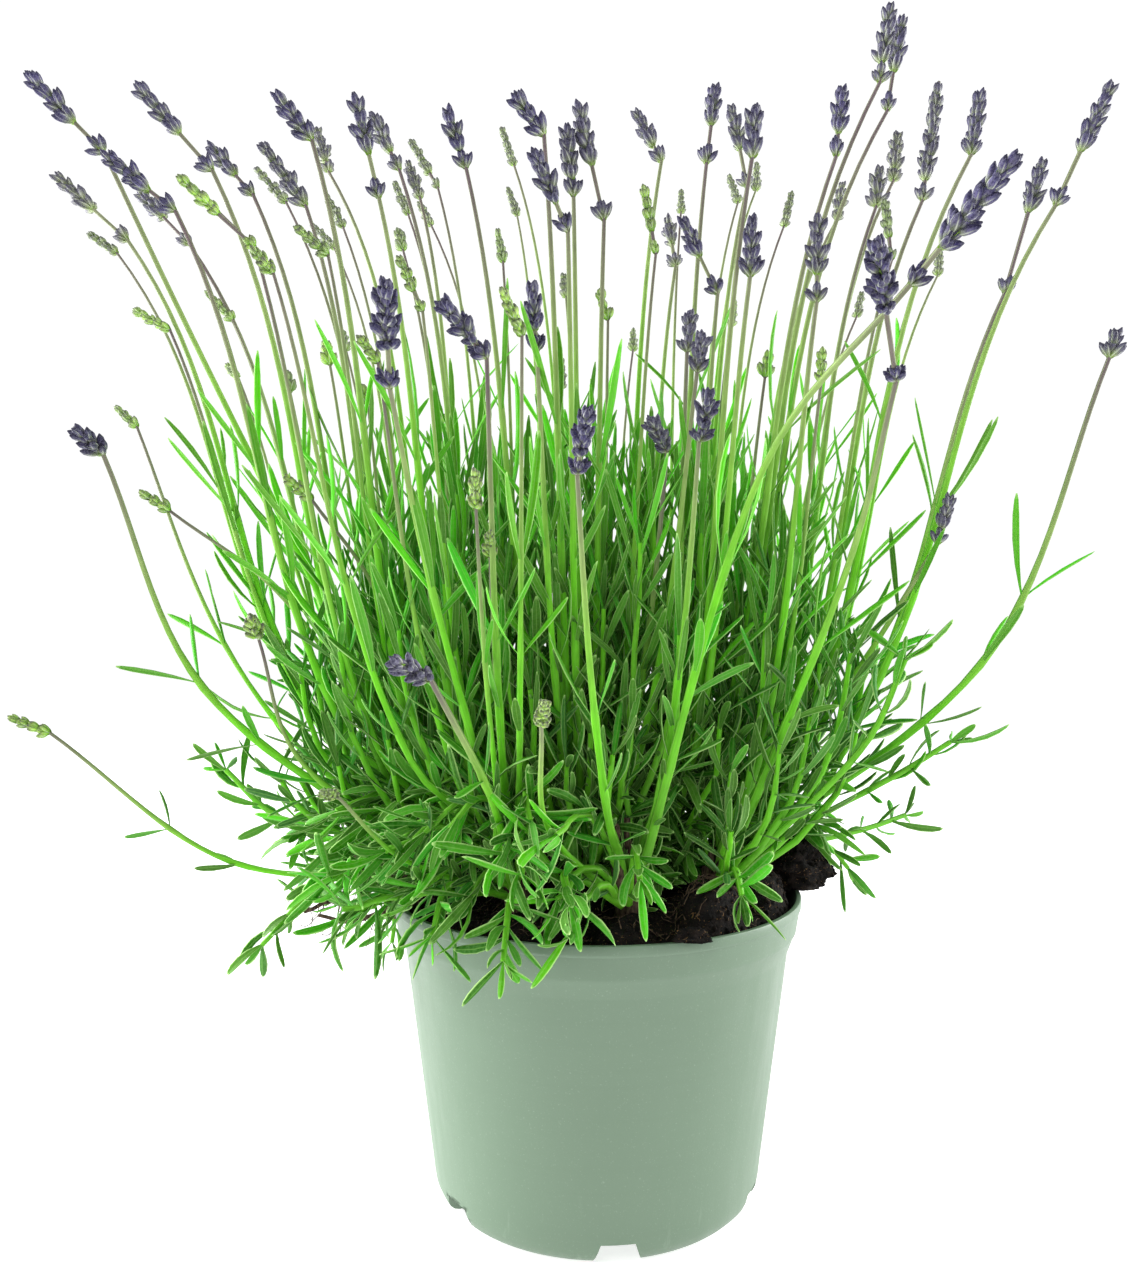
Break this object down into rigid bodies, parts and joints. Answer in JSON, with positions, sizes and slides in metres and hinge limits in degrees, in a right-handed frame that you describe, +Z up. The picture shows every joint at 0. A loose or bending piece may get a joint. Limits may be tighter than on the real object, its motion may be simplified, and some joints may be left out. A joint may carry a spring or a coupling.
{
  "type": "potted lavender",
  "caption": "Bushy lavender in a sage-green plastic nursery pot: fanning square stems, narrow opposite leaves and violet flower spikes over dark peat.",
  "frame": {"origin": "centre of the pot's flat foot, on the surface it stands on", "axes": "+Z up along the pot's axis, -Y towards the viewer of the picture, +X to the viewer's right"},
  "size_m": [0.4599, 0.3565, 0.5117],
  "materials": {
    "pot_plastic": "satin sage-green injection-moulded plastic",
    "peat": "crumbly dark peat",
    "bark": "rough brown woody twig",
    "foliage": "soft green leaf and stem with fine hairs",
    "bloom": "felted violet-grey flower buds"
  },
  "bodies": {
    "root": {"pot": "pot_plastic", "soil": "peat", "brown_twigs": "bark", "spray_01": "foliage", "spray_02": "foliage", "spray_03": "foliage", "spray_04": "foliage", "spray_05": "foliage", "spray_06": "foliage", "spray_07": "foliage", "spray_08": "foliage", "spray_09": "foliage", "spray_10": "foliage", "spray_11": "foliage", "spray_12": "foliage", "spray_13": "foliage", "head_01": "bloom", "head_02": "bloom", "head_03": "bloom", "head_04": "bloom", "head_05": "bloom", "head_06": "bloom", "head_07": "bloom", "head_08": "bloom", "head_09": "bloom", "head_10": "bloom", "head_11": "bloom", "head_12": "bloom", "head_13": "bloom", "head_14": "bloom", "head_15": "bloom", "head_16": "bloom", "head_17": "bloom", "head_18": "bloom", "head_19": "bloom", "head_20": "bloom", "head_21": "bloom", "head_22": "bloom", "head_23": "bloom", "head_24": "bloom", "head_25": "bloom", "head_26": "bloom", "head_27": "bloom", "head_28": "bloom", "head_29": "bloom", "head_30": "bloom", "head_31": "bloom", "head_32": "bloom", "head_33": "bloom", "head_34": "bloom", "head_35": "bloom", "head_36": "bloom", "head_37": "bloom", "head_38": "bloom", "head_39": "bloom", "head_40": "bloom", "head_41": "bloom", "head_42": "bloom", "head_43": "bloom"}
  },
  "joints": []
}
